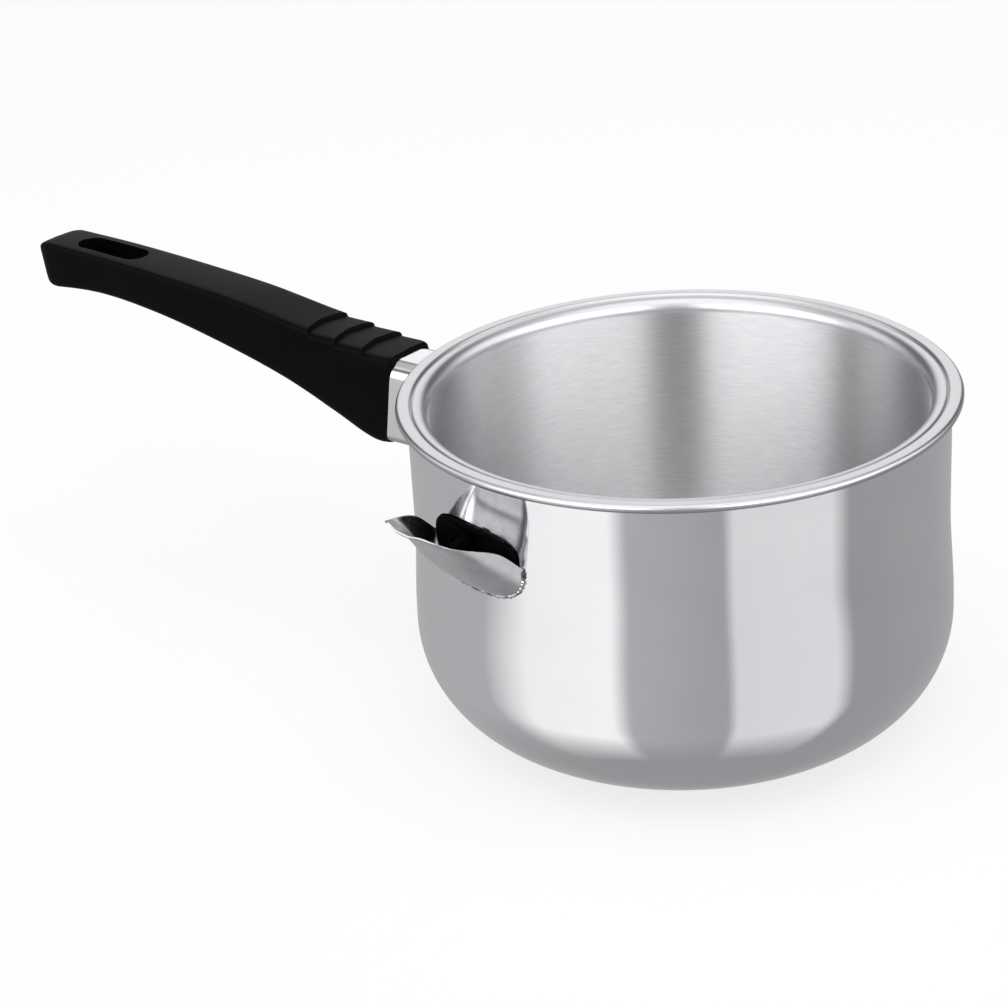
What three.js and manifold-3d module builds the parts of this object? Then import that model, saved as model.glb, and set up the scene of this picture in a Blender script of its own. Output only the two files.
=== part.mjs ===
// A double-walled simmer pot: an inner pot hangs in an outer shell by its hemmed rim, and the space
// between them is a water jacket. Water is poured in at a scoop on the shell's side, whose mouth a
// plug closes. A moulded grip is drawn against a steel ferrule by one long screw.
// Millimetres, +Z up. The origin is the centre of the base, and the grip points along -X.
import * as THREE from 'three';
import { mergeVertices } from 'three/addons/utils/BufferGeometryUtils.js';
import Module from 'manifold-3d';

// Fits
const gap = 0.3;

// Outer shell
const neckRadius = 86.4;
const rimTop = 111.5;
const bellyRadius = neckRadius + 1.6;
const baseRadius = bellyRadius - 36;
const neckHeight = rimTop - 37.5;
const flareRadius = 1.6;
const bellyEaseShare = 0.4;
const sheet = 0.7;

// Inner pot and rim
const jacketWidth = 5.7;
const innerRadius = neckRadius - sheet - jacketWidth;
const rimRadius = neckRadius + 3.6;
const innerFloor = 15;
const innerCornerRadius = 24;
const shoulderRadius = 3.8;
const seatStep = 0.5;
const seatGrooveDepth = 0.45;
const flangeWidth = 2.7;
const hemReturn = 1.2;

// Filler scoop and its mouth
const spoutAngle = 258;
const spoutHeight = rimTop - 27.2;
const spoutReach = 25.8;
const spoutHalfWidth = 20;
const spoutDrop = 11.4;
const spoutRise = 18;
const spoutSheet = 0.8;
const lipHalfWidth = 2.6;
const scoopRootPower = 3.2;
const scoopNosePower = 2;
const scoopRimShares = [
  [0, 1, 0],
  [0.3, 0.95, 0.41],
  [0.55, 0.88, 0.56],
  [0.77, 0.73, 0.68],
  [0.91, 0.53, 0.83],
  [0.975, 0.32, 0.94],
];
const scoopKeelShares = [
  [0, -1, 0],
  [0.33, -0.34, 0],
  [0.64, 0, 0.42],
  [0.86, 0, 0.78],
];
const mouthHalfWidth = 19.4;
const mouthTop = 9;
const mouthBottom = -9;

// Plug in the mouth
const plugClearance = 0.4;
const plugFootClearance = 1.4;
const plugDepth = 3;
const plugFaceProud = 1.2;
const plugPullAngle = 50;
const plugVentRadius = 1.5;
const plugVentSpacing = 18;
const finThickness = 2.8;
const finReach = 8.5;
const finTop = 5.5;
const finBottom = -3.5;

// Ferrule
const ferruleLength = 24.7;
const ferruleWidth = 23;
const ferruleHeight = 30.6;
const ferruleCorner = 7;
const ferruleWall = 0.8;
const ferruleHeightAtAxis = rimTop - 25.8;
const tenonLength = 6;

// Grip
const gripLength = 178.5;
const gripRootTop = rimTop - 10.3;
const gripRootDepth = 31;
const gripRootHalfWidth = 11.6;
const gripEndHalfWidth = 10.2;
const gripEndRise = 14.2;
const gripEndDepth = 19;
const gripCrown = 0.4;
const gripUnderTaper = 0.12;
const gripTopPower = 12;
const gripUnderPower = 6;
const gripTipRadius = 8;
const gripTipCorner = 0.45;
const gripTipDrop = 2;
const gripTipLean = 1.5;
const gripRootSlant = 0.15;
const gripSlantLength = 60;
const gripTopShares = [[0, 0], [0.22, 0.29], [0.39, 0.61], [0.57, 0.79], [0.79, 0.94], [1, 1]];
const gripUnderShares = [
  [0, 0],
  [0.06, -0.05],
  [0.17, 0.16],
  [0.3, 0.42],
  [0.48, 0.67],
  [0.66, 0.85],
  [0.82, 0.92],
];
const stepCount = 3;
const stepPitch = 12.5;
const firstStep = 12.8;
const stepDrop = 1.3;
const stepBow = 3;
const stepLedge = 0.25;
const slotLength = 33;
const slotWidth = 11.6;
const slotToEnd = 17;

// Long screw with its washer, nut and bracket
const screwDiameter = 4.8;
const screwHeadDiameter = 7.6;
const screwHeadHeight = 3.2;
const washerDiameter = 8.4;
const washerThickness = 1;
const boreClearance = 0.4;
const screwTilt = 6.5;
const driverHoleDiameter = 6.4;
const bracketReach = 14;
const bracketSheet = 1.8;
const bracketWidth = 14.4;
const bracketHeight = 15;
const bracketCentreHeight = rimTop - 23.1;
const nutThickness = 4;
const nutAcrossFlats = 8;
const screwPastNut = 2;
const headSeatFromSlot = 4;
const headSideShare = 0.6;
const headTopShare = 0.8;
const driveShare = 0.45;

// Facets
const ringSegments = 64;
const holeSegments = 16;
const cornerSegments = 5;
const slotSegments = 10;

const wasm = await Module();
wasm.setup();

const steel = { color: 0xc9cacd, roughness: 0.16, metalness: 1 };
const brushedSteel = { color: 0xbfc0c3, roughness: 0.34, metalness: 1 };
const zincSteel = { color: 0xb4b6b8, roughness: 0.4, metalness: 1 };
const blackPhenolic = { color: 0x232224, roughness: 0.48, metalness: 0 };

const pot = new THREE.Group();
const handle = new THREE.Group();
const spout = new THREE.Group();
handle.rotation.z = Math.PI;
spout.rotation.z = THREE.MathUtils.degToRad(spoutAngle);
pot.add(handle, spout);

function addPiece(parent, name, geometry, finish) {
  const mesh = new THREE.Mesh(geometry, new THREE.MeshStandardMaterial(finish));
  mesh.name = name;
  parent.add(mesh);
  return mesh;
}

// Boolean joins and cuts
function toSolid(geometry) {
  const bare = geometry.clone();
  bare.deleteAttribute('normal');
  bare.deleteAttribute('uv');
  const merged = mergeVertices(bare, 1e-4);
  const vertProperties = new Float32Array(merged.attributes.position.array);
  const triVerts = new Uint32Array(merged.index.array);
  return new wasm.Manifold(new wasm.Mesh({ numProp: 3, vertProperties, triVerts }));
}

function toGeometry(solid) {
  const mesh = solid.getMesh();
  const geometry = new THREE.BufferGeometry();
  geometry.setAttribute('position', new THREE.BufferAttribute(new Float32Array(mesh.vertProperties), 3));
  geometry.setIndex(new THREE.BufferAttribute(new Uint32Array(mesh.triVerts), 1));
  geometry.computeVertexNormals();
  return geometry;
}

function cut(geometry, ...tools) {
  return toGeometry(tools.reduce((solid, tool) => solid.subtract(toSolid(tool)), toSolid(geometry)));
}

// A sheet-metal section: the middle line of the sheet, thickened to both sides into a closed outline
function sheetOutline(middle, thickness) {
  const sides = [-0.5, 0.5].map((side) => middle.map((point, i) => {
    const before = middle[Math.max(i - 1, 0)];
    const after = middle[Math.min(i + 1, middle.length - 1)];
    const along = after.clone().sub(before).normalize();
    const normal = new THREE.Vector2(along.y, -along.x);
    const moved = point.clone().addScaledVector(normal, side * thickness);
    moved.x = Math.max(moved.x, 0);
    return moved;
  }));
  return [...sides[1], ...sides[0].reverse()];
}

function spun(outline) {
  return new THREE.LatheGeometry([...outline, outline[0]], ringSegments).rotateX(Math.PI / 2);
}

// Points along an arc, both ends included
function arc(centreX, centreY, radius, from, to, steps) {
  return Array.from({ length: steps + 1 }, (_, i) => {
    const angle = THREE.MathUtils.lerp(from, to, i / steps);
    return new THREE.Vector2(centreX + radius * Math.cos(angle), centreY + radius * Math.sin(angle));
  });
}

// A closed skin through rings of points, each ring running anticlockwise as seen from its far end. The
// ends are fans round the middle or, on a folded sheet's thin rings, strips between its two sides.
function loft(rings, thinEnds = false) {
  const count = rings[0].length;
  const points = rings.flat();
  const faces = [];
  for (let i = 0; i < rings.length - 1; i += 1) {
    for (let j = 0; j < count; j += 1) {
      const k = (j + 1) % count;
      const here = i * count;
      const next = here + count;
      faces.push(here + j, next + k, next + j, here + j, here + k, next + k);
    }
  }
  const end = (rings.length - 1) * count;
  if (thinEnds) {
    for (let j = 0; j < count / 2 - 1; j += 1) {
      const k = j + 1;
      const facing = count - 1 - j;
      faces.push(j, facing, k, k, facing, facing - 1);
      faces.push(end + j, end + k, end + facing, end + k, end + facing - 1, end + facing);
    }
  } else {
    [0, end].forEach((start) => {
      const middle = new THREE.Vector3();
      for (let j = 0; j < count; j += 1) middle.addScaledVector(points[start + j], 1 / count);
      points.push(middle);
      for (let j = 0; j < count; j += 1) {
        const k = (j + 1) % count;
        const [a, b] = start === 0 ? [k, j] : [start + j, start + k];
        faces.push(points.length - 1, a, b);
      }
    });
  }
  const geometry = new THREE.BufferGeometry().setFromPoints(points);
  geometry.setIndex(faces);
  geometry.computeVertexNormals();
  return geometry;
}

// A round bar along X, from one distance to another
function bar(from, to, diameter, segments = holeSegments) {
  const geometry = new THREE.CylinderGeometry(diameter / 2, diameter / 2, to - from, segments);
  geometry.rotateZ(-Math.PI / 2);
  geometry.translate((from + to) / 2, 0, 0);
  return geometry;
}

// A superellipse, from a round oval at 2 to a near rectangle at high powers
function ovalPoint(angle, halfWidth, halfHeight, power) {
  const cosine = Math.cos(angle);
  const sine = Math.sin(angle);
  const x = Math.sign(cosine) * Math.abs(cosine) ** (2 / power) * halfWidth;
  const y = Math.sign(sine) * Math.abs(sine) ** (2 / power) * halfHeight;
  return [x, y];
}

// Inner pot: flat floor, round corner, straight wall, lid seat and a flange hemmed round the shell's edge
const flangeMiddle = rimTop - sheet / 2;
const hemMiddleRadius = sheet + gap;
const hemCentreRadius = rimRadius - sheet / 2 - hemMiddleRadius;
const hemCentreHeight = flangeMiddle - hemMiddleRadius;
const wallMiddle = innerRadius + sheet / 2;
const ledgeHeight = flangeMiddle - seatStep;
const ledgeRadius = wallMiddle + shoulderRadius;
const flangeStart = hemCentreRadius - flangeWidth;
const innerCornerHeight = innerFloor - sheet / 2 + innerCornerRadius;
const shoulderHeight = ledgeHeight - shoulderRadius;
const quarter = Math.PI / 2;
const innerMiddle = [
  new THREE.Vector2(0, innerFloor - sheet / 2),
  ...arc(wallMiddle - innerCornerRadius, innerCornerHeight, innerCornerRadius, -quarter, 0, 5),
  ...arc(ledgeRadius, shoulderHeight, shoulderRadius, Math.PI, quarter, 3),
  new THREE.Vector2((ledgeRadius + flangeStart) / 2, ledgeHeight - seatGrooveDepth),
  new THREE.Vector2(flangeStart, flangeMiddle),
  ...arc(hemCentreRadius, hemCentreHeight, hemMiddleRadius, quarter, -quarter, 6),
  new THREE.Vector2(hemCentreRadius - hemReturn, hemCentreHeight - hemMiddleRadius),
];
addPiece(pot, 'inner_pot', spun(sheetOutline(innerMiddle, sheet)), brushedSteel);

// Outer shell: one deep-drawn skin from the flat base over the belly to the flange inside the hem
const bellyCornerRadius = bellyRadius - baseRadius;
const shellMiddle = neckRadius - sheet / 2;
const flareTop = hemCentreHeight;
const bellyCornerMiddle = bellyCornerRadius - sheet / 2;
const bellyMiddle = bellyRadius - sheet / 2;
const bellyEase = (neckHeight - bellyCornerRadius) * bellyEaseShare;
const bellyToNeck = new THREE.CubicBezierCurve(
  new THREE.Vector2(bellyMiddle, bellyCornerRadius),
  new THREE.Vector2(bellyMiddle, bellyCornerRadius + bellyEase),
  new THREE.Vector2(shellMiddle, neckHeight - bellyEase),
  new THREE.Vector2(shellMiddle, neckHeight),
);
const shellMiddlePoints = [
  new THREE.Vector2(0, sheet / 2),
  ...arc(baseRadius, bellyCornerRadius, bellyCornerMiddle, -quarter, 0, 7),
  ...bellyToNeck.getPoints(4).slice(1),
  ...arc(shellMiddle + flareRadius, flareTop - flareRadius, flareRadius, Math.PI, quarter, 3),
  new THREE.Vector2(hemCentreRadius, flareTop),
];
const shellBody = spun(sheetOutline(shellMiddlePoints, sheet));

// The mouth is one oval through the shell, cut by a punch with that section
const mouthPower = 3;
const mouthPoints = 32;

function mouthRing(x, halfWidth, top, bottom) {
  return Array.from({ length: mouthPoints }, (_, i) => {
    const angle = (i / mouthPoints) * 2 * Math.PI;
    const [y, z] = ovalPoint(angle, halfWidth, (top - bottom) / 2, mouthPower);
    return new THREE.Vector3(x, y, spoutHeight + (top + bottom) / 2 + z);
  });
}

const punchStart = neckRadius - mouthTop;
const punchEnd = neckRadius + spoutReach;
const punch = loft([punchStart, punchEnd].map((x) => mouthRing(x, mouthHalfWidth, mouthTop, mouthBottom)));
punch.rotateZ(spout.rotation.z);
addPiece(pot, 'outer_shell', cut(shellBody, punch), steel);

// Filler scoop: a pressed trough whose open end follows the shell's wall and whose nose turns up
const rimCurve = new THREE.CatmullRomCurve3([
  ...scoopRimShares.map(([reach, width, rise]) => (
    new THREE.Vector3(reach * spoutReach, width * spoutHalfWidth, rise * spoutRise)
  )),
  new THREE.Vector3(spoutReach, lipHalfWidth, spoutRise),
]);
const keelCurve = new THREE.CatmullRomCurve3([
  ...scoopKeelShares.map(([reach, drop, rise]) => (
    new THREE.Vector3(reach * spoutReach, 0, drop * spoutDrop + rise * spoutRise)
  )),
  new THREE.Vector3(spoutReach, 0, spoutRise - gap),
]);
const scoopLengthSteps = 14;
const scoopSideSteps = 10;

function wallReach(y) {
  return Math.sqrt((neckRadius + gap) ** 2 - y ** 2);
}

function scoopPoint(alongShare, sideShare) {
  const rim = rimCurve.getPoint(alongShare);
  const keel = keelCurve.getPoint(alongShare);
  const power = THREE.MathUtils.lerp(scoopRootPower, scoopNosePower, alongShare);
  const angle = Math.abs(sideShare) * Math.PI / 2;
  const across = Math.sin(angle) ** (2 / power);
  const up = 1 - Math.cos(angle) ** (2 / power);
  const y = Math.sign(sideShare) * across * rim.y;
  const reach = THREE.MathUtils.lerp(keel.x, rim.x, up);
  return new THREE.Vector3(wallReach(y) + reach, y, spoutHeight + THREE.MathUtils.lerp(keel.z, rim.z, up));
}

const scoopInside = [];
const scoopOutside = [];
const probe = 0.01;
for (let i = 0; i <= scoopLengthSteps; i += 1) {
  const alongShare = i / scoopLengthSteps;
  const insideRow = [];
  const outsideRow = [];
  for (let j = -scoopSideSteps; j <= scoopSideSteps; j += 1) {
    const sideShare = j / scoopSideSteps;
    const point = scoopPoint(alongShare, sideShare);
    const ahead = scoopPoint(Math.min(alongShare + probe, 1), sideShare);
    const behind = scoopPoint(Math.max(alongShare - probe, 0), sideShare);
    const left = scoopPoint(alongShare, Math.min(sideShare + probe, 1));
    const right = scoopPoint(alongShare, Math.max(sideShare - probe, -1));
    const outward = left.sub(right).cross(ahead.sub(behind)).normalize();
    if (i === 0) outward.setX(0).normalize();
    const moved = point.clone().addScaledVector(outward, spoutSheet);
    if (i === 0) moved.x = wallReach(moved.y);
    insideRow.push(point);
    outsideRow.push(moved);
  }
  scoopInside.push(insideRow);
  scoopOutside.push(outsideRow);
}
const scoopRings = scoopOutside.map((row, i) => [...row, ...scoopInside[i].slice().reverse()]);
addPiece(spout, 'filler_spout', loft(scoopRings, true), steel);

// Plug: a tapered oval bung with a finger fin and two steam vents, pulled up and out past the nose
const plugHalfWidth = mouthHalfWidth - plugClearance;
const plugTop = mouthTop - plugClearance;
const plugBottom = mouthBottom + plugFootClearance;
const pullRise = Math.tan(THREE.MathUtils.degToRad(plugPullAngle));
const plugLayers = [
  { reach: -plugDepth, inset: plugClearance, fall: plugDepth * pullRise + plugClearance },
  { reach: -sheet, inset: 0, fall: sheet * pullRise },
  { reach: 0, inset: 0, fall: 0 },
  { reach: plugFaceProud / 2, inset: 0, fall: 0 },
  { reach: plugFaceProud, inset: plugFaceProud / 2, fall: plugFaceProud / 2 },
];
const plugRings = plugLayers.map(({ reach, inset, fall }) => {
  const ring = mouthRing(0, plugHalfWidth - inset, plugTop - fall, plugBottom + inset);
  ring.forEach((point) => point.setX(wallReach(point.y) + reach));
  return ring;
});
const finOutline = new THREE.Shape();
finOutline.moveTo(neckRadius, spoutHeight + finBottom);
finOutline.lineTo(neckRadius + plugFaceProud + gap, spoutHeight + finBottom);
finOutline.lineTo(neckRadius + finReach, spoutHeight + finTop / 3);
finOutline.quadraticCurveTo(
  neckRadius + finReach,
  spoutHeight + finTop,
  neckRadius + finReach / 2,
  spoutHeight + finTop,
);
finOutline.lineTo(neckRadius, spoutHeight + finTop);
const finSteps = 6;
const fin = new THREE.ExtrudeGeometry(finOutline, {
  depth: finThickness,
  bevelEnabled: false,
  curveSegments: finSteps,
});
fin.translate(0, 0, -finThickness / 2);
fin.rotateX(Math.PI / 2);
const vents = [-0.5, 0.5].map((side) => {
  const vent = bar(neckRadius - 3 * plugDepth, neckRadius + finReach, 2 * plugVentRadius, 12);
  return vent.translate(0, side * plugVentSpacing, spoutHeight);
});
const plugWithFin = toGeometry(toSolid(loft(plugRings)).add(toSolid(fin)));
addPiece(spout, 'filler_plug', cut(plugWithFin, ...vents), blackPhenolic);

// Ferrule: a rounded-rectangle sleeve from the shell's wall to the grip's root
function roundedRectangle(width, height, corner) {
  const shape = new THREE.Shape();
  const x = width / 2 - corner;
  const y = height / 2 - corner;
  shape.absarc(x, y, corner, 0, Math.PI / 2);
  shape.absarc(-x, y, corner, Math.PI / 2, Math.PI);
  shape.absarc(-x, -y, corner, Math.PI, 1.5 * Math.PI);
  shape.absarc(x, -y, corner, 1.5 * Math.PI, 2 * Math.PI);
  return shape;
}

// Shapes drawn as width by height, pushed along +X from one distance to another
function pushed(shape, from, to, height) {
  const settings = { depth: to - from, bevelEnabled: false, curveSegments: cornerSegments };
  const geometry = new THREE.ExtrudeGeometry(shape, settings);
  geometry.rotateX(Math.PI / 2);
  geometry.rotateZ(Math.PI / 2);
  geometry.translate(from, 0, height);
  return geometry;
}

const wallForm = new THREE.CylinderGeometry(neckRadius + gap, neckRadius + gap, 3 * rimTop, 2 * ringSegments);
wallForm.rotateX(Math.PI / 2);
const ferruleStart = neckRadius / 2;
const ferruleEnd = neckRadius + ferruleLength;
const gripStart = ferruleEnd + gap;
const rootLean = gripRootSlant * gripRootDepth;
const ferruleShape = roundedRectangle(ferruleWidth, ferruleHeight, ferruleCorner);
ferruleShape.holes.push(roundedRectangle(
  ferruleWidth - 2 * ferruleWall,
  ferruleHeight - 2 * ferruleWall,
  ferruleCorner - ferruleWall,
));
const ferruleBlank = pushed(ferruleShape, ferruleStart, ferruleEnd + rootLean, ferruleHeightAtAxis);
const endTrim = new THREE.Shape();
endTrim.moveTo(ferruleEnd, gripRootTop);
endTrim.lineTo(ferruleEnd + rootLean, gripRootTop - gripRootDepth);
endTrim.lineTo(ferruleEnd + gripLength, gripRootTop - gripRootDepth);
endTrim.lineTo(ferruleEnd + gripLength, gripRootTop);
const endTrimBlock = new THREE.ExtrudeGeometry(endTrim, { depth: 2 * ferruleWidth, bevelEnabled: false });
endTrimBlock.translate(0, 0, -ferruleWidth);
endTrimBlock.rotateX(quarter);
addPiece(handle, 'ferrule', cut(ferruleBlank, wallForm, endTrimBlock), steel);

// Screw axis: rises from the bracket to the hanging slot
const screwAxis = new THREE.Group();
screwAxis.position.set(neckRadius + bracketReach, 0, bracketCentreHeight);
screwAxis.rotation.y = -THREE.MathUtils.degToRad(screwTilt);
screwAxis.updateMatrix();
handle.add(screwAxis);

// Grip: sections along the handle, each boxy on top and rounder below, with stepped thumb rests
const gripEnd = gripStart + gripLength;
const gripTop = new THREE.CatmullRomCurve3(gripTopShares.map(([along, rise]) => (
  new THREE.Vector3(along * gripLength, 0, rise * gripEndRise)
)));
const gripUnder = new THREE.CatmullRomCurve3([
  ...gripUnderShares.map(([along, rise]) => new THREE.Vector3(along * gripLength, 0, rise * gripRootDepth)),
  new THREE.Vector3(gripLength, 0, gripRootDepth + gripEndRise - gripEndDepth),
]);

function heightAt(curve, along) {
  let low = 0;
  let high = 1;
  for (let turn = 0; turn < 30; turn += 1) {
    const middle = (low + high) / 2;
    if (curve.getPoint(middle).x < along) low = middle;
    else high = middle;
  }
  return curve.getPoint(low).z;
}

const lastStep = firstStep + (stepCount - 1) * stepPitch;

// A saw-tooth along the thumb rests, which fades out past the last of them
function stepRise(along) {
  if (along > lastStep) return stepDrop / 2 * Math.max(0, 1 - (along - lastStep) / (2 * stepPitch));
  const share = (along - firstStep) / stepPitch;
  return stepDrop * (0.5 - (share - Math.floor(share)));
}

const gripPoints = 28;
const tipStations = [0.25, 0.5, 0.72, 0.88, 0.97, 1];
const gripStations = [0, firstStep / 2];
for (let i = 0; i < stepCount; i += 1) {
  const place = firstStep + i * stepPitch;
  gripStations.push(place - stepLedge, place + stepLedge, place + stepPitch / 2);
}
const bodyStations = 12;
const bodyStart = lastStep + stepPitch;
const tipStart = gripLength - gripTipRadius;
for (let i = 0; i <= bodyStations; i += 1) {
  gripStations.push(THREE.MathUtils.lerp(bodyStart, tipStart, i / bodyStations));
}
tipStations.forEach((share) => gripStations.push(tipStart + share * gripTipRadius));

// The foot stands out past the top at the root and back from it at the tip; the steps bow towards the tip
const gripRings = gripStations.map((along) => {
  const lean = rootLean * Math.max(0, 1 - along / gripSlantLength);
  const past = Math.max(0, along - tipStart) / gripTipRadius;
  const fall = 1 - Math.sqrt(Math.max(0, 1 - past ** 2));
  const top = gripRootTop + heightAt(gripTop, along) - gripTipDrop * fall;
  const bottom = gripRootTop - gripRootDepth + heightAt(gripUnder, along + lean);
  const rounding = 1 - gripTipCorner * fall;
  const leanBack = gripTipLean * Math.max(0, 1 - (gripLength - along) / (2 * gripTipRadius));
  const halfWidth = THREE.MathUtils.lerp(gripRootHalfWidth, gripEndHalfWidth, along / gripLength) * rounding;
  const halfHeight = (top - bottom) / 2 * (1 - gripTipCorner * (1 - rounding));
  const middle = (top + bottom) / 2;
  const bowFade = Math.max(0, 1 - Math.max(0, along - lastStep) / gripSlantLength);
  const bowing = stepBow * Math.min(1, along / firstStep) * bowFade;
  return Array.from({ length: gripPoints }, (_, i) => {
    const angle = (i / gripPoints) * 2 * Math.PI;
    const power = Math.sin(angle) > 0 ? gripTopPower : gripUnderPower;
    const [y, z] = ovalPoint(angle, halfWidth, halfHeight, power);
    const upper = Math.max(0, z / halfHeight);
    const inward = 1 - (y / halfWidth) ** 2;
    const taper = 1 - gripUnderTaper * Math.min(1, along / lastStep) * (1 - z / halfHeight) / 2;
    const shift = (lean - leanBack) * (1 - z / halfHeight) / 2 + bowing * inward * upper;
    const rise = upper * (stepRise(along) + gripCrown * inward);
    return new THREE.Vector3(gripStart + along + shift, y * taper, middle + z + rise);
  });
});

// A tenon of the grip fills the ferrule's end
const tenonInset = 2 * (ferruleWall + gap);
const tenonShape = roundedRectangle(
  ferruleWidth - tenonInset,
  ferruleHeight - tenonInset,
  ferruleCorner - tenonInset / 2,
);
const tenon = pushed(tenonShape, gripStart - tenonLength, gripStart + 2 * rootLean, ferruleHeightAtAxis);
const gripBlank = toGeometry(toSolid(loft(gripRings)).add(toSolid(tenon)));
const slotCentre = gripEnd - slotToEnd - slotLength / 2;
const slotShape = new THREE.Shape();
const slotStraight = (slotLength - slotWidth) / 2;
slotShape.absarc(slotCentre + slotStraight, 0, slotWidth / 2, -Math.PI / 2, Math.PI / 2);
slotShape.absarc(slotCentre - slotStraight, 0, slotWidth / 2, Math.PI / 2, 1.5 * Math.PI);
const slot = new THREE.ExtrudeGeometry(slotShape, {
  depth: 2 * rimTop,
  bevelEnabled: false,
  curveSegments: slotSegments,
});
const boreDiameter = screwDiameter + 2 * boreClearance;
const headBoreDiameter = washerDiameter + 2 * boreClearance;
const tiltCosine = Math.cos(THREE.MathUtils.degToRad(screwTilt));
const slotStart = slotCentre - slotLength / 2;
const headSeat = (slotStart - headSeatFromSlot - screwAxis.position.x) / tiltCosine;
const bore = bar(0, headSeat + gap, boreDiameter).applyMatrix4(screwAxis.matrix);
const slotMiddleAlong = (slotCentre - screwAxis.position.x) / tiltCosine;
const headBore = bar(headSeat, slotMiddleAlong, headBoreDiameter).applyMatrix4(screwAxis.matrix);
const driverHoleEnd = slotMiddleAlong + slotLength + slotToEnd;
const driverHole = bar(slotMiddleAlong, driverHoleEnd, driverHoleDiameter).applyMatrix4(screwAxis.matrix);
addPiece(handle, 'handle_grip', cut(gripBlank, slot, bore, headBore, driverHole), blackPhenolic);

// Bracket: a bent steel U, its legs welded to the shell and its web holding the screw
const bracketOutline = new THREE.Shape();
const legBack = -2 * bracketReach;
bracketOutline.moveTo(legBack, -bracketWidth / 2);
bracketOutline.lineTo(0, -bracketWidth / 2);
bracketOutline.lineTo(0, bracketWidth / 2);
bracketOutline.lineTo(legBack, bracketWidth / 2);
bracketOutline.lineTo(legBack, bracketWidth / 2 - bracketSheet);
bracketOutline.lineTo(-bracketSheet, bracketWidth / 2 - bracketSheet);
bracketOutline.lineTo(-bracketSheet, -bracketWidth / 2 + bracketSheet);
bracketOutline.lineTo(legBack, -bracketWidth / 2 + bracketSheet);
const bracketBlank = new THREE.ExtrudeGeometry(bracketOutline, { depth: bracketHeight, bevelEnabled: false });
bracketBlank.translate(0, 0, -bracketHeight / 2);
const bracketHole = bar(-2 * bracketSheet, bracketSheet, boreDiameter);
const tiltedBracket = cut(bracketBlank, bracketHole).applyMatrix4(screwAxis.matrix);
addPiece(handle, 'handle_bracket', cut(tiltedBracket, wallForm), zincSteel);

// Nut behind the web, washer and long screw
const nutFront = -bracketSheet - gap;
const nutBlank = bar(nutFront - nutThickness, nutFront, nutAcrossFlats / Math.cos(Math.PI / 6), 6);
const nutHole = bar(nutFront - 2 * nutThickness, nutFront + nutThickness, boreDiameter);
addPiece(screwAxis, 'bracket_nut', cut(nutBlank, nutHole), zincSteel);

const washerBlank = bar(headSeat + gap, headSeat + gap + washerThickness, washerDiameter);
const washerHole = bar(headSeat - washerThickness, headSeat + 3 * washerThickness, boreDiameter);
addPiece(screwAxis, 'screw_washer', cut(washerBlank, washerHole), zincSteel);

const headStart = headSeat + 2 * gap + washerThickness;
const headRadius = screwHeadDiameter / 2;
const screwEnd = nutFront - nutThickness - screwPastNut;
const driveDepth = screwHeadHeight / 2;
const driveRadius = headRadius * driveShare;
const screwOutline = [
  new THREE.Vector2(0, screwEnd),
  new THREE.Vector2(screwDiameter / 2, screwEnd),
  new THREE.Vector2(screwDiameter / 2, headStart),
  new THREE.Vector2(headRadius, headStart),
  new THREE.Vector2(headRadius, headStart + screwHeadHeight * headSideShare),
  new THREE.Vector2(headRadius * headTopShare, headStart + screwHeadHeight),
  new THREE.Vector2(driveRadius, headStart + screwHeadHeight),
  new THREE.Vector2(driveRadius, headStart + screwHeadHeight - driveDepth),
  new THREE.Vector2(0, headStart + screwHeadHeight - driveDepth),
];
const screw = new THREE.LatheGeometry(screwOutline, holeSegments);
screw.rotateZ(-Math.PI / 2);
addPiece(screwAxis, 'handle_screw', screw, zincSteel);

export default pot;
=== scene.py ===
import math

import bpy
from mathutils import Matrix, Vector, geometry


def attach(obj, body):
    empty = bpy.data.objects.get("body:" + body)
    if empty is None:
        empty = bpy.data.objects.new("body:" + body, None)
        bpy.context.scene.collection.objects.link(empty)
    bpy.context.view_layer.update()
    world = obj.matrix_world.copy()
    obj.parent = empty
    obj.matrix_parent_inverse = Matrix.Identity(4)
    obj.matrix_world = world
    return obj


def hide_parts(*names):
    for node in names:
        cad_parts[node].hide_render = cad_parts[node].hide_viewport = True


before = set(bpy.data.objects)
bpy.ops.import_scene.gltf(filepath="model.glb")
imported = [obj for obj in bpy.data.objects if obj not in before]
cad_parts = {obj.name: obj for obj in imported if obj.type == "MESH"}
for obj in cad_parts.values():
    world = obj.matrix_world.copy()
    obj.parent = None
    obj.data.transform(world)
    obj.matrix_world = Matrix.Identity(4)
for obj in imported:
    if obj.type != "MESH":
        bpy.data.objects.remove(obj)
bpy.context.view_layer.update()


# Studio: a wide pale floor in an even white surround. The steel mirrors a room of upright panels, light
# and grey by turns: a low row that the shell shows, a stronger row above it that the inside shows, and a
# plain ceiling.
MM = 0.001


def rgb(colour):
    """A written sRGB colour as linear light."""
    parts = [int(colour[i:i + 2], 16) / 255 for i in (1, 3, 5)]
    return [p / 12.92 if p <= 0.04045 else ((p + 0.055) / 1.055) ** 2.4 for p in parts] + [1]


def add_node(tree, kind, inputs=None, stops=None, **settings):
    """One node with its settings, its ramp stops, and a value or a link for each named input."""
    made = tree.nodes.new(kind)
    for name, value in settings.items():
        setattr(made, name, value)
    for key, value in (inputs or {}).items():
        if isinstance(value, bpy.types.NodeSocket):
            tree.links.new(value, made.inputs[key])
        else:
            made.inputs[key].default_value = value
    if stops:
        elements = made.color_ramp.elements
        elements.remove(elements[1])
        elements[0].position, elements[0].color = stops[0]
        for place, colour in stops[1:]:
            elements.new(place).color = colour
    return made


scene = bpy.context.scene
scene.view_settings.view_transform = "Standard"

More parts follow.
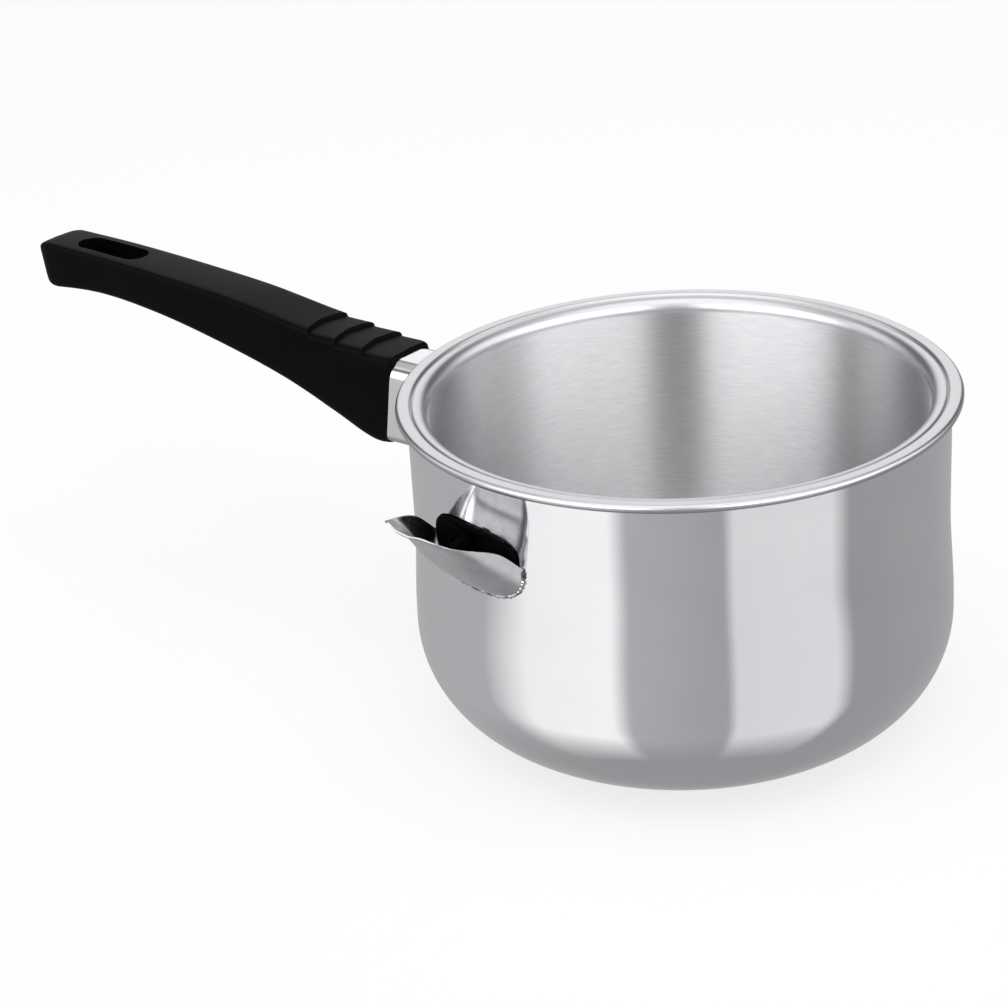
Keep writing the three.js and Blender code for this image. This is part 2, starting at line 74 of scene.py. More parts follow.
camera = bpy.data.objects.new("camera", bpy.data.cameras.new("camera"))
scene.collection.objects.link(camera)
scene.camera = camera
camera.data.lens = 89.29
camera.data.sensor_width = 36
camera.matrix_world = Matrix((
    (0.78755, -0.21776, 0.57650, 423.12 * MM),
    (0.61357, 0.36431, -0.70058, -604.27 * MM),
    (-0.05746, 0.90546, 0.42052, 415.33 * MM),
    (0, 0, 0, 1),
))

room = bpy.data.worlds.new("studio_room")
scene.world = room
room.use_nodes = True
room.node_tree.nodes.clear()
tree = room.node_tree
toward = add_node(tree, "ShaderNodeSeparateXYZ", {
    0: add_node(tree, "ShaderNodeTexCoord").outputs["Generated"],
})
bearing = add_node(tree, "ShaderNodeMath", {
    0: toward.outputs["Y"],
    1: toward.outputs["X"],
}, operation="ARCTAN2")
turn = add_node(tree, "ShaderNodeMath", {
    0: bearing.outputs[0],
    1: 1 / (2 * math.pi),
    2: 0.5,
}, operation="MULTIPLY_ADD")
low_panels = add_node(tree, "ShaderNodeValToRGB", {0: turn.outputs[0]}, stops=[
    (0.0, (0.48, 0.48, 0.49, 1)),
    (0.09, (0.5, 0.5, 0.51, 1)),
    (0.155, (1.06, 1.06, 1.06, 1)),
    (0.262, (1.12, 1.12, 1.12, 1)),
    (0.283, (0.5, 0.5, 0.51, 1)),
    (0.394, (0.42, 0.42, 0.43, 1)),
    (0.406, (0.82, 0.82, 0.83, 1)),
    (0.528, (0.86, 0.86, 0.87, 1)),
    (0.552, (0.37, 0.37, 0.38, 1)),
    (1.0, (0.48, 0.48, 0.49, 1)),
])
high_panels = add_node(tree, "ShaderNodeValToRGB", {0: turn.outputs[0]}, stops=[
    (0.0, (0.3, 0.3, 0.3, 1)),
    (0.025, (1.7, 1.7, 1.7, 1)),
    (0.08, (1.7, 1.7, 1.7, 1)),
    (0.096, (0.3, 0.3, 0.3, 1)),
    (0.118, (0.3, 0.3, 0.3, 1)),
    (0.132, (4.0, 4.0, 4.0, 1)),
    (0.19, (4.4, 4.4, 4.4, 1)),
    (0.25, (4.8, 4.8, 4.8, 1)),
    (0.302, (4.8, 4.8, 4.8, 1)),
    (0.316, (0.1, 0.1, 0.1, 1)),
    (0.376, (0.1, 0.1, 0.1, 1)),
    (0.392, (4.2, 4.2, 4.2, 1)),
    (0.548, (4.0, 4.0, 4.0, 1)),
    (0.566, (1.8, 1.8, 1.8, 1)),
    (0.66, (2.0, 2.0, 2.0, 1)),
    (0.7, (0.1, 0.1, 0.1, 1)),
    (0.78, (0.1, 0.1, 0.1, 1)),
    (0.795, (1.5, 1.5, 1.5, 1)),
    (0.9, (1.5, 1.5, 1.5, 1)),
    (0.915, (0.1, 0.1, 0.1, 1)),
    (0.97, (0.1, 0.1, 0.1, 1)),
    (1.0, (0.3, 0.3, 0.3, 1)),
])
above, overhead, below = (
    add_node(tree, "ShaderNodeMapRange", {"Value": toward.outputs["Z"], "From Min": start, "From Max": end})
    for start, end in ((0.0, 0.2), (0.68, 0.76), (-0.64, -0.92))
)
panels = add_node(tree, "ShaderNodeMix", {
    0: above.outputs[0],
    6: low_panels.outputs[0],
    7: high_panels.outputs[0],
}, data_type="RGBA")
under_ceiling = add_node(tree, "ShaderNodeMix", {
    0: overhead.outputs[0],
    6: panels.outputs[2],
    7: (0.8, 0.8, 0.8, 1),
}, data_type="RGBA")
over_floor = add_node(tree, "ShaderNodeMix", {
    0: below.outputs[0],
    6: under_ceiling.outputs[2],
    7: (0.36, 0.36, 0.37, 1),
}, data_type="RGBA")
ray = add_node(tree, "ShaderNodeLightPath")
seen_in_steel = add_node(tree, "ShaderNodeMix", {
    0: ray.outputs["Is Glossy Ray"],
    6: (0.8, 0.8, 0.8, 1),
    7: over_floor.outputs[2],
}, data_type="RGBA")
seen = add_node(tree, "ShaderNodeMix", {
    0: ray.outputs["Is Camera Ray"],
    6: seen_in_steel.outputs[2],
    7: (1, 1, 1, 1),
}, data_type="RGBA")
surround = add_node(tree, "ShaderNodeBackground", {"Color": seen.outputs[2], "Strength": 1.0})
add_node(tree, "ShaderNodeOutputWorld", {"Surface": surround.outputs[0]})

bpy.ops.object.select_all(action="DESELECT")
bpy.ops.mesh.primitive_plane_add(size=30, location=(0, 0, -0.2 * MM))
floor = bpy.context.object
floor.name = "floor"
floor.visible_glossy = False
pale = bpy.data.materials.new("pale_floor")
pale.use_nodes = True
tree = pale.node_tree
matt = tree.nodes["Principled BSDF"]
matt.inputs["Base Color"].default_value = rgb("#f8f8f8")
matt.inputs["Roughness"].default_value = 1
matt.inputs["Specular IOR Level"].default_value = 0
white = add_node(tree, "ShaderNodeEmission", {"Color": (1, 1, 1, 1), "Strength": 1.0})
share = add_node(tree, "ShaderNodeMath", {
    0: add_node(tree, "ShaderNodeLightPath").outputs["Is Camera Ray"],
    1: 0.72,
}, operation="MULTIPLY")
lifted = add_node(tree, "ShaderNodeMixShader", {
    0: share.outputs[0],
    1: matt.outputs[0],
    2: white.outputs[0],
})
tree.links.new(lifted.outputs[0], tree.nodes["Material Output"].inputs["Surface"])
floor.data.materials.append(pale)

softbox = bpy.data.objects.new("overhead_softbox", bpy.data.lights.new("overhead_softbox", "AREA"))
scene.collection.objects.link(softbox)
softbox.data.size = 1.6
softbox.data.energy = 10
softbox.location = (0.1, -0.2, 1.7)


# Outer shell: one deep-drawn stainless skin from the flat base over the belly to the rim, polished to a
# mirror. It is spun as a single sheet, given its thickness, and pierced for the filler's mouth.
SHEET = 0.7
NECK_RADIUS = 86.4
SPOUT_TURN = math.radians(258)
SPOUT_HEIGHT = 84.3
MOUTH_HALF_WIDTH = 19.4
MOUTH_HALF_HEIGHT = 9
MOUTH_POWER = 3
PUNCH_START, PUNCH_STROKE = 78, 40


def arc(x, z, radius, start, end, steps):
    """Points along an arc, in degrees, both ends included."""
    angles = [math.radians(start + (end - start) * i / steps) for i in range(steps + 1)]
    return [(x + radius * math.cos(a), z + radius * math.sin(a)) for a in angles]


def straight(start, end, steps):
    """Points along a line after its start, up to its end."""
    return [tuple(a + (b - a) * i / steps for a, b in zip(start, end)) for i in range(1, steps + 1)]


def finish_with(piece, kind, **settings):
    """One modifier, set and applied."""
    bpy.ops.object.select_all(action="DESELECT")
    piece.select_set(True)
    bpy.context.view_layer.objects.active = piece
    modifier = piece.modifiers.new(kind.lower(), kind)
    for name, value in settings.items():
        setattr(modifier, name, value)
    bpy.ops.object.modifier_apply(modifier=modifier.name)


def spun_sheet(name, middle, thickness, turns):
    """A sheet-metal section, drawn point by point, spun round Z and thickened to both sides."""
    bpy.ops.object.select_all(action="DESELECT")
    bpy.ops.mesh.primitive_plane_add(size=MM)
    piece = bpy.context.object
    piece.name = name
    bpy.ops.object.mode_set(mode="EDIT")
    bpy.ops.mesh.select_all(action="SELECT")
    bpy.ops.mesh.merge(type="CENTER")
    bpy.ops.transform.translate(value=(middle[0][0] * MM, 0, middle[0][1] * MM))
    for here, there in zip(middle, middle[1:]):
        step = ((there[0] - here[0]) * MM, 0, (there[1] - here[1]) * MM)
        bpy.ops.mesh.extrude_region_move(TRANSFORM_OT_translate={"value": step})
    bpy.ops.mesh.select_all(action="SELECT")
    bpy.ops.mesh.spin(steps=turns, angle=2 * math.pi, center=(0, 0, 0), axis=(0, 0, 1))
    bpy.ops.mesh.select_all(action="SELECT")
    bpy.ops.mesh.remove_doubles(threshold=1e-6)
    bpy.ops.mesh.normals_make_consistent(inside=False)
    bpy.ops.object.mode_set(mode="OBJECT")
    finish_with(piece, "SOLIDIFY", thickness=thickness * MM, offset=0, use_even_offset=True)
    return piece


def superellipse(angle, half_width, half_height, power):
    """A point of an oval that nears a rectangle as the power grows."""
    c, s = math.cos(angle), math.sin(angle)
    x = math.copysign(abs(c) ** (2 / power), c) * half_width
    return x, math.copysign(abs(s) ** (2 / power), s) * half_height


def pull_out(outline, way):
    """Pulls an outline out into a solid, or into a tube where it isn't filled."""
    bpy.ops.object.mode_set(mode="EDIT")
    bpy.ops.mesh.select_all(action="SELECT")
    bpy.ops.mesh.extrude_region_move(TRANSFORM_OT_translate={"value": way})
    bpy.ops.mesh.select_all(action="SELECT")
    bpy.ops.mesh.normals_make_consistent(inside=False)
    bpy.ops.object.mode_set(mode="OBJECT")


def cut_away(piece, tool, operation="DIFFERENCE"):
    """Takes the tool's shape out of the piece, or joins it on, and clears the tool away."""
    finish_with(piece, "BOOLEAN", object=tool, operation=operation, solver="EXACT")
    spent = tool.data
    bpy.data.objects.remove(tool)
    bpy.data.meshes.remove(spent)


def smooth(piece, angle=35):
    """Smooth faces, with edges sharper than the angle kept crisp."""
    bpy.ops.object.select_all(action="DESELECT")
    piece.select_set(True)
    bpy.context.view_layer.objects.active = piece
    bpy.ops.object.shade_smooth_by_angle(angle=math.radians(angle))


shell_middle = [(0, 0.35)] + straight((0, 0.35), (52, 0.35), 6)
shell_middle += arc(52, 36, 35.65, -90, 0, 40)[1:]
belly, neck = Vector((87.65, 36)), Vector((86.05, 74))
eased = geometry.interpolate_bezier(belly, Vector((87.65, 51.2)), Vector((86.05, 58.8)), neck, 25)
shell_middle += [tuple(point) for point in eased[1:]]
shell_middle += straight((86.05, 74), (86.05, 108.55), 22)
shell_middle += arc(87.65, 108.55, 1.6, 180, 90, 6)[1:] + [(88.65, 110.15)]
outer_shell = spun_sheet("outer_shell_skin", shell_middle, SHEET, 240)

bpy.ops.object.select_all(action="DESELECT")
bpy.ops.mesh.primitive_circle_add(vertices=96, radius=1, fill_type="NGON")
punch = bpy.context.object
for vertex in punch.data.vertices:
    angle = math.atan2(vertex.co.y, vertex.co.x)
    y, z = superellipse(angle, MOUTH_HALF_WIDTH * MM, MOUTH_HALF_HEIGHT * MM, MOUTH_POWER)
    vertex.co = (PUNCH_START * MM, y, SPOUT_HEIGHT * MM + z)
pull_out(punch, (PUNCH_STROKE * MM, 0, 0))
punch.data.transform(Matrix.Rotation(SPOUT_TURN, 4, "Z"))
cut_away(outer_shell, punch)
smooth(outer_shell)



def new_finish(name):
    """A new material with its tree, its shader and the place on the object that its patterns go by."""
    finish = bpy.data.materials.new(name)
    finish.use_nodes = True
    tree = finish.node_tree
    place = add_node(tree, "ShaderNodeTexCoord").outputs["Object"]
    return finish, tree, tree.nodes["Principled BSDF"], place


# Stainless steel, mirror-polished: bright and nearly neutral, with a faint haze in the shine.
polished_steel, tree, steel_shader, place = new_finish("polished_stainless_steel")
cloud = add_node(tree, "ShaderNodeTexNoise", {"Vector": place, "Scale": 1 / (30 * MM), "Detail": 3})
tint = add_node(tree, "ShaderNodeValToRGB", {0: cloud.outputs[0]}, stops=[
    (0.35, rgb("#e3e4e6")),
    (0.65, rgb("#e8e8ea")),
])
haze = add_node(tree, "ShaderNodeTexNoise", {"Vector": place, "Scale": 1 / (6 * MM), "Detail": 4})
shine = add_node(tree, "ShaderNodeMapRange", {"Value": haze.outputs[0], "To Min": 0.045, "To Max": 0.085})
steel_shader.inputs["Metallic"].default_value = 1
tree.links.new(tint.outputs[0], steel_shader.inputs["Base Color"])
tree.links.new(shine.outputs[0], steel_shader.inputs["Roughness"])
outer_shell.data.materials.append(polished_steel)
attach(outer_shell, "pot")
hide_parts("outer_shell")


# Inner pot: a thinner stainless pan that hangs in the shell by its flange, which is hemmed round the
# shell's edge. It is spun as one sheet and brushed round and round inside.
inner_middle = [(0, 14.65)] + straight((0, 14.65), (56.35, 14.65), 6)
inner_middle += arc(56.35, 38.65, 24, -90, 0, 20)[1:]
inner_middle += straight((80.35, 38.65), (80.35, 106.85), 14)
inner_middle += arc(84.15, 106.85, 3.8, 180, 90, 10)[1:]
inner_middle += [(84.55, 110.45), (85.05, 110.2), (85.45, 110.6), (85.75, 111.0), (86.05, 111.15)]
inner_middle += straight((86.05, 111.15), (88.65, 111.15), 3)
inner_middle += arc(88.64, 110.15, 1.0, 90, -90, 12)[1:] + [(87.45, 109.15)]
inner_pot = spun_sheet("inner_pot_skin", inner_middle, SHEET, 240)
smooth(inner_pot, 60)

# Stainless steel, brushed on a lathe: fine rings round the axis that smear a reflection up and down.
# Real scratches are about 0.05 mm apart; they are drawn about 0.4 mm apart so that they show. The flange
# is rolled and not brushed; its darker tint is painted shade that dims the reflection it gives.
brushed_steel, tree, brushed_shader, place = new_finish("brushed_stainless_steel")
parts = add_node(tree, "ShaderNodeSeparateXYZ", {0: place})
flat = add_node(tree, "ShaderNodeCombineXYZ", {"X": parts.outputs["X"], "Y": parts.outputs["Y"]})
radius = add_node(tree, "ShaderNodeVectorMath", {0: flat.outputs[0]}, operation="LENGTH")
bearing = add_node(tree, "ShaderNodeMath", {
    0: parts.outputs["Y"],
    1: parts.outputs["X"],
}, operation="ARCTAN2")
stretch = add_node(tree, "ShaderNodeMath", {0: bearing.outputs[0], 1: 8 * MM}, operation="MULTIPLY")
round_place = add_node(tree, "ShaderNodeCombineXYZ", {
    "X": radius.outputs["Value"],
    "Y": stretch.outputs[0],
    "Z": parts.outputs["Z"],
})
scratches = add_node(tree, "ShaderNodeTexNoise", {
    "Vector": round_place.outputs[0],
    "Scale": 1 / (0.8 * MM),
    "Detail": 3,
    "Roughness": 0.6,
})
tint = add_node(tree, "ShaderNodeValToRGB", {0: scratches.outputs[0]}, stops=[
    (0.3, rgb("#cbcbce")),
    (0.7, rgb("#d9d9db")),
])
flange = add_node(tree, "ShaderNodeMapRange", {
    "Value": parts.outputs["Z"],
    "From Min": 106 * MM,
    "From Max": 108 * MM,
})
# Painted shade: over the flange the tint turns darker, to dim the reflection there.
tint_with_flange_shade = add_node(tree, "ShaderNodeMix", {
    0: flange.outputs[0],
    6: tint.outputs[0],
    7: rgb("#b9b9bc"),
}, data_type="RGBA")
dull = add_node(tree, "ShaderNodeMapRange", {"Value": scratches.outputs[0], "To Min": 0.46, "To Max": 0.52})
shine = add_node(tree, "ShaderNodeMix", {0: flange.outputs[0], 2: dull.outputs[0], 3: 0.33})
smear = add_node(tree, "ShaderNodeMix", {0: flange.outputs[0], 2: 1.0, 3: 0.0})
relief = add_node(tree, "ShaderNodeBump", {
    "Strength": 0.12,
    "Distance": 0.05 * MM,
    "Height": scratches.outputs[0],
})
grain = add_node(tree, "ShaderNodeTangent", direction_type="RADIAL", axis="Z")
brushed_shader.inputs["Metallic"].default_value = 1
brushed_shader.inputs["Anisotropic Rotation"].default_value = 0.25
tree.links.new(tint_with_flange_shade.outputs[2], brushed_shader.inputs["Base Color"])
tree.links.new(shine.outputs[0], brushed_shader.inputs["Roughness"])
tree.links.new(relief.outputs[0], brushed_shader.inputs["Normal"])
tree.links.new(grain.outputs[0], brushed_shader.inputs["Tangent"])
tree.links.new(smear.outputs[0], brushed_shader.inputs["Anisotropic"])
inner_pot.data.materials.append(brushed_steel)
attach(inner_pot, "pot")
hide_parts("inner_pot")


# Filler scoop: a trough pressed from stainless sheet, its open end bent to the shell's wall and welded
# there, its nose turned up and rounded. A blank is laid over the inside of the form, round its edge, and
# back over the outside.
SPOUT_SHEET = 0.8
WALL_GAP = 0.3
SCOOP_ROOT_POWER, SCOOP_NOSE_POWER = 3.2, 2
LOOK_ROUND = 0.01
# From root to nose, the rim's distance out from the wall, half-width and height, and the keel's distance
# out and height.
RIM_LINE = [
    (0, 20, 0),
    (7.74, 19, 7.38),
    (14.19, 17.6, 10.08),
    (19.87, 14.6, 12.24),
    (23.3, 11, 14.4),
    (24.8, 7.2, 15.4),
    (25.5, 3.6, 15.1),
]
KEEL_LINE = [(0, -11.4), (8.51, -3.88), (16.51, 7.56), (22.1, 12.7), (25.5, 15)]


def through(points, share):
    """The point at a share of a smooth centripetal curve through the points."""
    spans = len(points) - 1
    i = min(int(share * spans), spans - 1)
    t = share * spans - i
    p1, p2 = Vector(points[i]), Vector(points[i + 1])
    p0 = Vector(points[i - 1]) if i > 0 else 2 * p1 - p2
    p3 = Vector(points[i + 2]) if i + 2 <= spans else 2 * p2 - p1
    d0, d1, d2 = (max((b - a).length, 1e-4) ** 0.5 for a, b in ((p0, p1), (p1, p2), (p2, p3)))
    m1 = ((p1 - p0) / d0 - (p2 - p0) / (d0 + d1) + (p2 - p1) / d1) * d1
    m2 = ((p2 - p1) / d1 - (p3 - p1) / (d1 + d2) + (p3 - p2) / d2) * d1
    bend = 2 * p1 - 2 * p2 + m1 + m2
    lean = -3 * p1 + 3 * p2 - 2 * m1 - m2
    return p1 + m1 * t + lean * t ** 2 + bend * t ** 3


def laid_over(name, rows, columns, form):
    """A flat blank whose grid is laid over a form, which gives the point for each row and column value."""
    bpy.ops.object.select_all(action="DESELECT")
    bpy.ops.mesh.primitive_grid_add(x_subdivisions=len(rows) - 1, y_subdivisions=len(columns) - 1, size=1)
    blank = bpy.context.object
    blank.name = name
    for vertex in blank.data.vertices:
        row = rows[round((vertex.co.x + 0.5) * (len(rows) - 1))]
        column = columns[round((vertex.co.y + 0.5) * (len(columns) - 1))]
        vertex.co = form(row, column) * MM
    return blank


def close_skin(piece):
    """Joins the skin's seam, fills its open ends and turns its faces outwards."""
    bpy.ops.object.mode_set(mode="EDIT")
    bpy.ops.mesh.select_all(action="SELECT")
    bpy.ops.mesh.remove_doubles(threshold=1e-6)
    bpy.ops.mesh.fill_holes(sides=0)
    bpy.ops.mesh.select_all(action="SELECT")
    bpy.ops.mesh.normals_make_consistent(inside=False)
    bpy.ops.object.mode_set(mode="OBJECT")


def wall_reach(y):
    """How far out the shell's wall is at a distance to the side."""
    return math.sqrt((NECK_RADIUS + WALL_GAP) ** 2 - y ** 2)


def ways_out(along):
    """The ways out of the trough at its rim and keel: along the wall at the root, level at the nose."""
    ahead, behind = min(along + LOOK_ROUND, 1), max(along - LOOK_ROUND, 0)
    rim_run = through(RIM_LINE, ahead) - through(RIM_LINE, behind)
    keel_run = through(KEEL_LINE, ahead) - through(KEEL_LINE, behind)
    rim_out = Vector((-rim_run.y, rim_run.x, 0)).normalized()
    keel_out = Vector((keel_run.y, -keel_run.x)).normalized()
    if along == 0:
        rim_out, keel_out = Vector((0, 1, 0)), Vector((0, -1))
    if along == 1:
        keel_out = Vector((1, 0))
    return rim_out, keel_out


def scoop_form(along, side, skin=0):
    """A point inside the trough, or out from there by the skin's thickness."""
    rim_out, keel_out = ways_out(along)
    rim = through(RIM_LINE, along) + rim_out * skin
    keel = through(KEEL_LINE, along) + keel_out * skin
    power = SCOOP_ROOT_POWER + (SCOOP_NOSE_POWER - SCOOP_ROOT_POWER) * along
    angle = abs(side) * math.pi / 2
    across = math.sin(angle) ** (2 / power)
    up = 1 - max(math.cos(angle), 0) ** (2 / power)
    y = math.copysign(across * rim.y, side)
    x = wall_reach(y) + keel.x + (rim.x - keel.x) * up
    return Vector((x, y, SPOUT_HEIGHT + keel.y + (rim.z - keel.y) * up))


def scoop_skin(row, column):
    """A point at a row's place and thickness and at a column's side, which is inside (0) or outside (1)."""
    return scoop_form(row[0], column[0], row[1] * column[1])


# The first and last rows have no thickness: they fold the outside in to the inside and close the ends.
scoop_rows = [(0, 0)] + [(i / 48, SPOUT_SHEET) for i in range(49)] + [(1, 0)]
scoop_sides = [i / 32 - 1 for i in range(65)]
scoop_columns = [(side, 0) for side in scoop_sides] + [(-side, 1) for side in scoop_sides] + [(-1, 0)]
scoop = laid_over("filler_scoop", scoop_rows, scoop_columns, scoop_skin)
close_skin(scoop)
scoop.data.transform(Matrix.Rotation(SPOUT_TURN, 4, "Z"))
smooth(scoop, 25)

# Stainless steel as it leaves the press tool: the same metal with a satin bloom in place of the polish.
satin_steel, tree, satin_shader, place = new_finish("satin_stainless_steel")
bloom = add_node(tree, "ShaderNodeTexNoise", {"Vector": place, "Scale": 1 / (5 * MM), "Detail": 4})
tint = add_node(tree, "ShaderNodeValToRGB", {0: bloom.outputs[0]}, stops=[
    (0.35, rgb("#cacacd")),
    (0.65, rgb("#d6d6d8")),
])
dull = add_node(tree, "ShaderNodeMapRange", {"Value": bloom.outputs[0], "To Min": 0.22, "To Max": 0.3})
satin_shader.inputs["Metallic"].default_value = 1
tree.links.new(tint.outputs[0], satin_shader.inputs["Base Color"])
tree.links.new(dull.outputs[0], satin_shader.inputs["Roughness"])
scoop.data.materials.append(satin_steel)
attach(scoop, "pot")
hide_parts("filler_spout")


# Weld: an uneven bead of filler metal where the scoop's edge meets the shell, left as it was laid. It is
# a tube along the scoop's edge whose thickness comes and goes.
WELD_RADIUS = 0.45
WELD_SPREAD = 1.3
WELD_WAVES = [(0.22, 61, 0), (0.18, 143, 1), (0.12, 31, 0)]


def weld_form(side, angle):
    """A point round the bead at a side of the scoop's edge."""
    edge, ahead, behind = (scoop_form(0, min(max(side + d, -1), 1)) for d in (0, LOOK_ROUND, -LOOK_ROUND))
    run = Vector((0, ahead.y - behind.y, ahead.z - behind.z)).normalized()
    out = Vector((0, run.z, -run.y))
    swell = 1 + sum(size * math.sin(pace * side + start) for size, pace, start in WELD_WAVES)
    centre = edge + out * SPOUT_SHEET
    thick = WELD_RADIUS * swell
    return centre + out * math.cos(angle) * thick * WELD_SPREAD + Vector((math.sin(angle) * thick, 0, 0))


weld_sides = [i / 160 - 1 for i in range(321)]
weld = laid_over("scoop_weld", weld_sides, [i * 2 * math.pi / 12 for i in range(13)], weld_form)
close_skin(weld)
weld.data.transform(Matrix.Rotation(SPOUT_TURN, 4, "Z"))
smooth(weld, 60)

# Stainless weld metal as laid: grey, with darker oxide in patches about 3 mm long.
weld_metal, tree, weld_shader, place = new_finish("stainless_weld_metal")
oxide = add_node(tree, "ShaderNodeTexNoise", {"Vector": place, "Scale": 1 / (3 * MM), "Detail": 4})
tint = add_node(tree, "ShaderNodeValToRGB", {0: oxide.outputs[0]}, stops=[
    (0.38, rgb("#4c4a49")),
    (0.62, rgb("#b9b8b8")),
])
dull = add_node(tree, "ShaderNodeMapRange", {"Value": oxide.outputs[0], "To Min": 0.45, "To Max": 0.2})
weld_shader.inputs["Metallic"].default_value = 1
tree.links.new(tint.outputs[0], weld_shader.inputs["Base Color"])
tree.links.new(dull.outputs[0], weld_shader.inputs["Roughness"])
weld.data.materials.append(weld_metal)
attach(weld, "pot")


# Ferrule: a rounded-rectangle sleeve of stainless sheet between the shell and the grip. It is drawn as
# one loop, pulled out into a tube, cut at a slant to meet the grip, thickened, and fitted to the wall.
FERRULE_WIDTH = 23
FERRULE_HEIGHT = 30.6
FERRULE_CORNER = 7
FERRULE_FOOT_CORNER = 3.5
FERRULE_WALL = 0.8
FERRULE_AXIS = 85.7
FERRULE_END = 111.1
WALL_CLEARANCE = 0.05
ROOT_TOP, ROOT_DEPTH, ROOT_LEAN = 101.2, 31, 4.65


def rounded_sleeve(name, inset, start, end, filled):
    """A rounded rectangle across X, set in from the ferrule's outside, pulled out along -X."""
    width, height = FERRULE_WIDTH - 2 * inset, FERRULE_HEIGHT - 2 * inset
    bpy.ops.object.select_all(action="DESELECT")
    bpy.ops.mesh.primitive_plane_add(size=1)
    sleeve = bpy.context.object
    sleeve.name = name
    for vertex in sleeve.data.vertices:
        vertex.co = (-start * MM, vertex.co.x * width * MM, FERRULE_AXIS * MM + vertex.co.y * height * MM)
    bpy.ops.object.mode_set(mode="EDIT")
    bpy.ops.mesh.select_mode(type="VERT")
    for upper, corner in ((True, FERRULE_CORNER), (False, FERRULE_FOOT_CORNER)):
        bpy.ops.mesh.select_all(action="DESELECT")
        bpy.ops.object.mode_set(mode="OBJECT")
        for vertex in sleeve.data.vertices:
            at_corner = abs(abs(vertex.co.y) - width / 2 * MM) < 1e-6
            vertex.select = at_corner and (vertex.co.z > FERRULE_AXIS * MM) == upper
        bpy.ops.object.mode_set(mode="EDIT")
        bpy.ops.mesh.bevel(
            offset=(corner - inset) * MM,
            segments=16,
            affect="VERTICES",
            clamp_overlap=False,
        )
    if not filled:
        bpy.ops.mesh.select_all(action="SELECT")
        bpy.ops.mesh.delete(type="ONLY_FACE")
    bpy.ops.object.mode_set(mode="OBJECT")
    pull_out(sleeve, ((start - end) * MM, 0, 0))
    return sleeve


ferrule = rounded_sleeve(
    "ferrule_sleeve",
    FERRULE_WALL / 2,
    NECK_RADIUS / 2,
    FERRULE_END + ROOT_LEAN,
    False,
)
bpy.ops.object.mode_set(mode="EDIT")
bpy.ops.mesh.select_all(action="SELECT")
bpy.ops.mesh.bisect(
    plane_co=(-FERRULE_END * MM, 0, ROOT_TOP * MM),
    plane_no=Vector((-ROOT_DEPTH, 0, ROOT_LEAN)).normalized(),
    clear_outer=True,
)
bpy.ops.object.mode_set(mode="OBJECT")
finish_with(ferrule, "SOLIDIFY", thickness=FERRULE_WALL * MM, offset=0, use_even_offset=True)
bpy.ops.object.select_all(action="DESELECT")
bpy.ops.mesh.primitive_cylinder_add(vertices=240, radius=(NECK_RADIUS + WALL_CLEARANCE) * MM, depth=0.3)
cut_away(ferrule, bpy.context.object)
smooth(ferrule)

# Stainless steel of a plainer grade than the pot's: a little darker, polished, with faint drawing lines
# along the sleeve about 0.5 mm apart.
plain_steel, tree, plain_shader, place = new_finish("plain_stainless_steel")
drawn = add_node(tree, "ShaderNodeMapping", {"Vector": place, "Scale": (0.02, 1, 1)})
lines = add_node(tree, "ShaderNodeTexNoise", {
    "Vector": drawn.outputs[0],
    "Scale": 1 / (0.5 * MM),
    "Detail": 2,
})
tint = add_node(tree, "ShaderNodeValToRGB", {0: lines.outputs[0]}, stops=[
    (0.3, rgb("#c3c3c6")),
    (0.7, rgb("#c9c9cc")),
])
shine = add_node(tree, "ShaderNodeMapRange", {"Value": lines.outputs[0], "To Min": 0.08, "To Max": 0.12})
plain_shader.inputs["Metallic"].default_value = 1
tree.links.new(tint.outputs[0], plain_shader.inputs["Base Color"])
tree.links.new(shine.outputs[0], plain_shader.inputs["Roughness"])
ferrule.data.materials.append(plain_steel)
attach(ferrule, "pot")
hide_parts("ferrule")


# Grip: one moulding of black phenolic with a tenon in the ferrule's end, boxy on top and rounder below,
# with three stepped thumb rests and a hanging slot. Its skin is laid over the sections along the handle.
GRIP_START = 111.39
GRIP_LENGTH = 178.5
GRIP_TOP = [(0, 0), (39.27, 4.12), (69.62, 8.66), (101.75, 11.22), (141.02, 13.35), (178.5, 14.2)]
GRIP_UNDER = [
    (0, 0),
    (10.71, -1.55),
    (30.35, 4.96),
    (53.55, 13.02),
    (85.68, 20.77),
    (117.81, 26.35),
    (146.37, 28.52),
    (178.5, 26.2),
]
FIRST_STEP, STEP_PITCH, LAST_STEP, STEP_DROP = 12.8, 12.5, 37.8, 1.3
TIP_RADIUS, TIP_CORNER, TIP_DROP, TIP_LEAN = 8, 0.45, 2, 1.5
STEP_BOW = 3
STEP_FADE = 0.5
SLANT_LENGTH = 60
ROOT_ROUNDING = 3
ROOT_HALF_WIDTH, TIP_HALF_WIDTH = 11.6, 10.2
TOP_POWER, ROOT_TOP_POWER, UNDER_POWER = 12, 5, 6
UNDER_TAPER = 0.12
CROWN = 0.39


def height_at(points, along):
    """The height of a smooth line at a distance along it."""
    low, high = 0, 1
    for _ in range(30):
        middle = (low + high) / 2
        if through(points, middle).x < along:
            low = middle
        else:
            high = middle
    return through(points, low).y


def step_rise(along):
    """How far the top stands over or under its line, as the thumb rests step down."""
    if along > LAST_STEP:
        return STEP_DROP * STEP_FADE * max(0, 1 - (along - LAST_STEP) / (2 * STEP_PITCH))
    share = (along - FIRST_STEP) / STEP_PITCH
    return STEP_DROP * (STEP_FADE - (share - math.floor(share)))


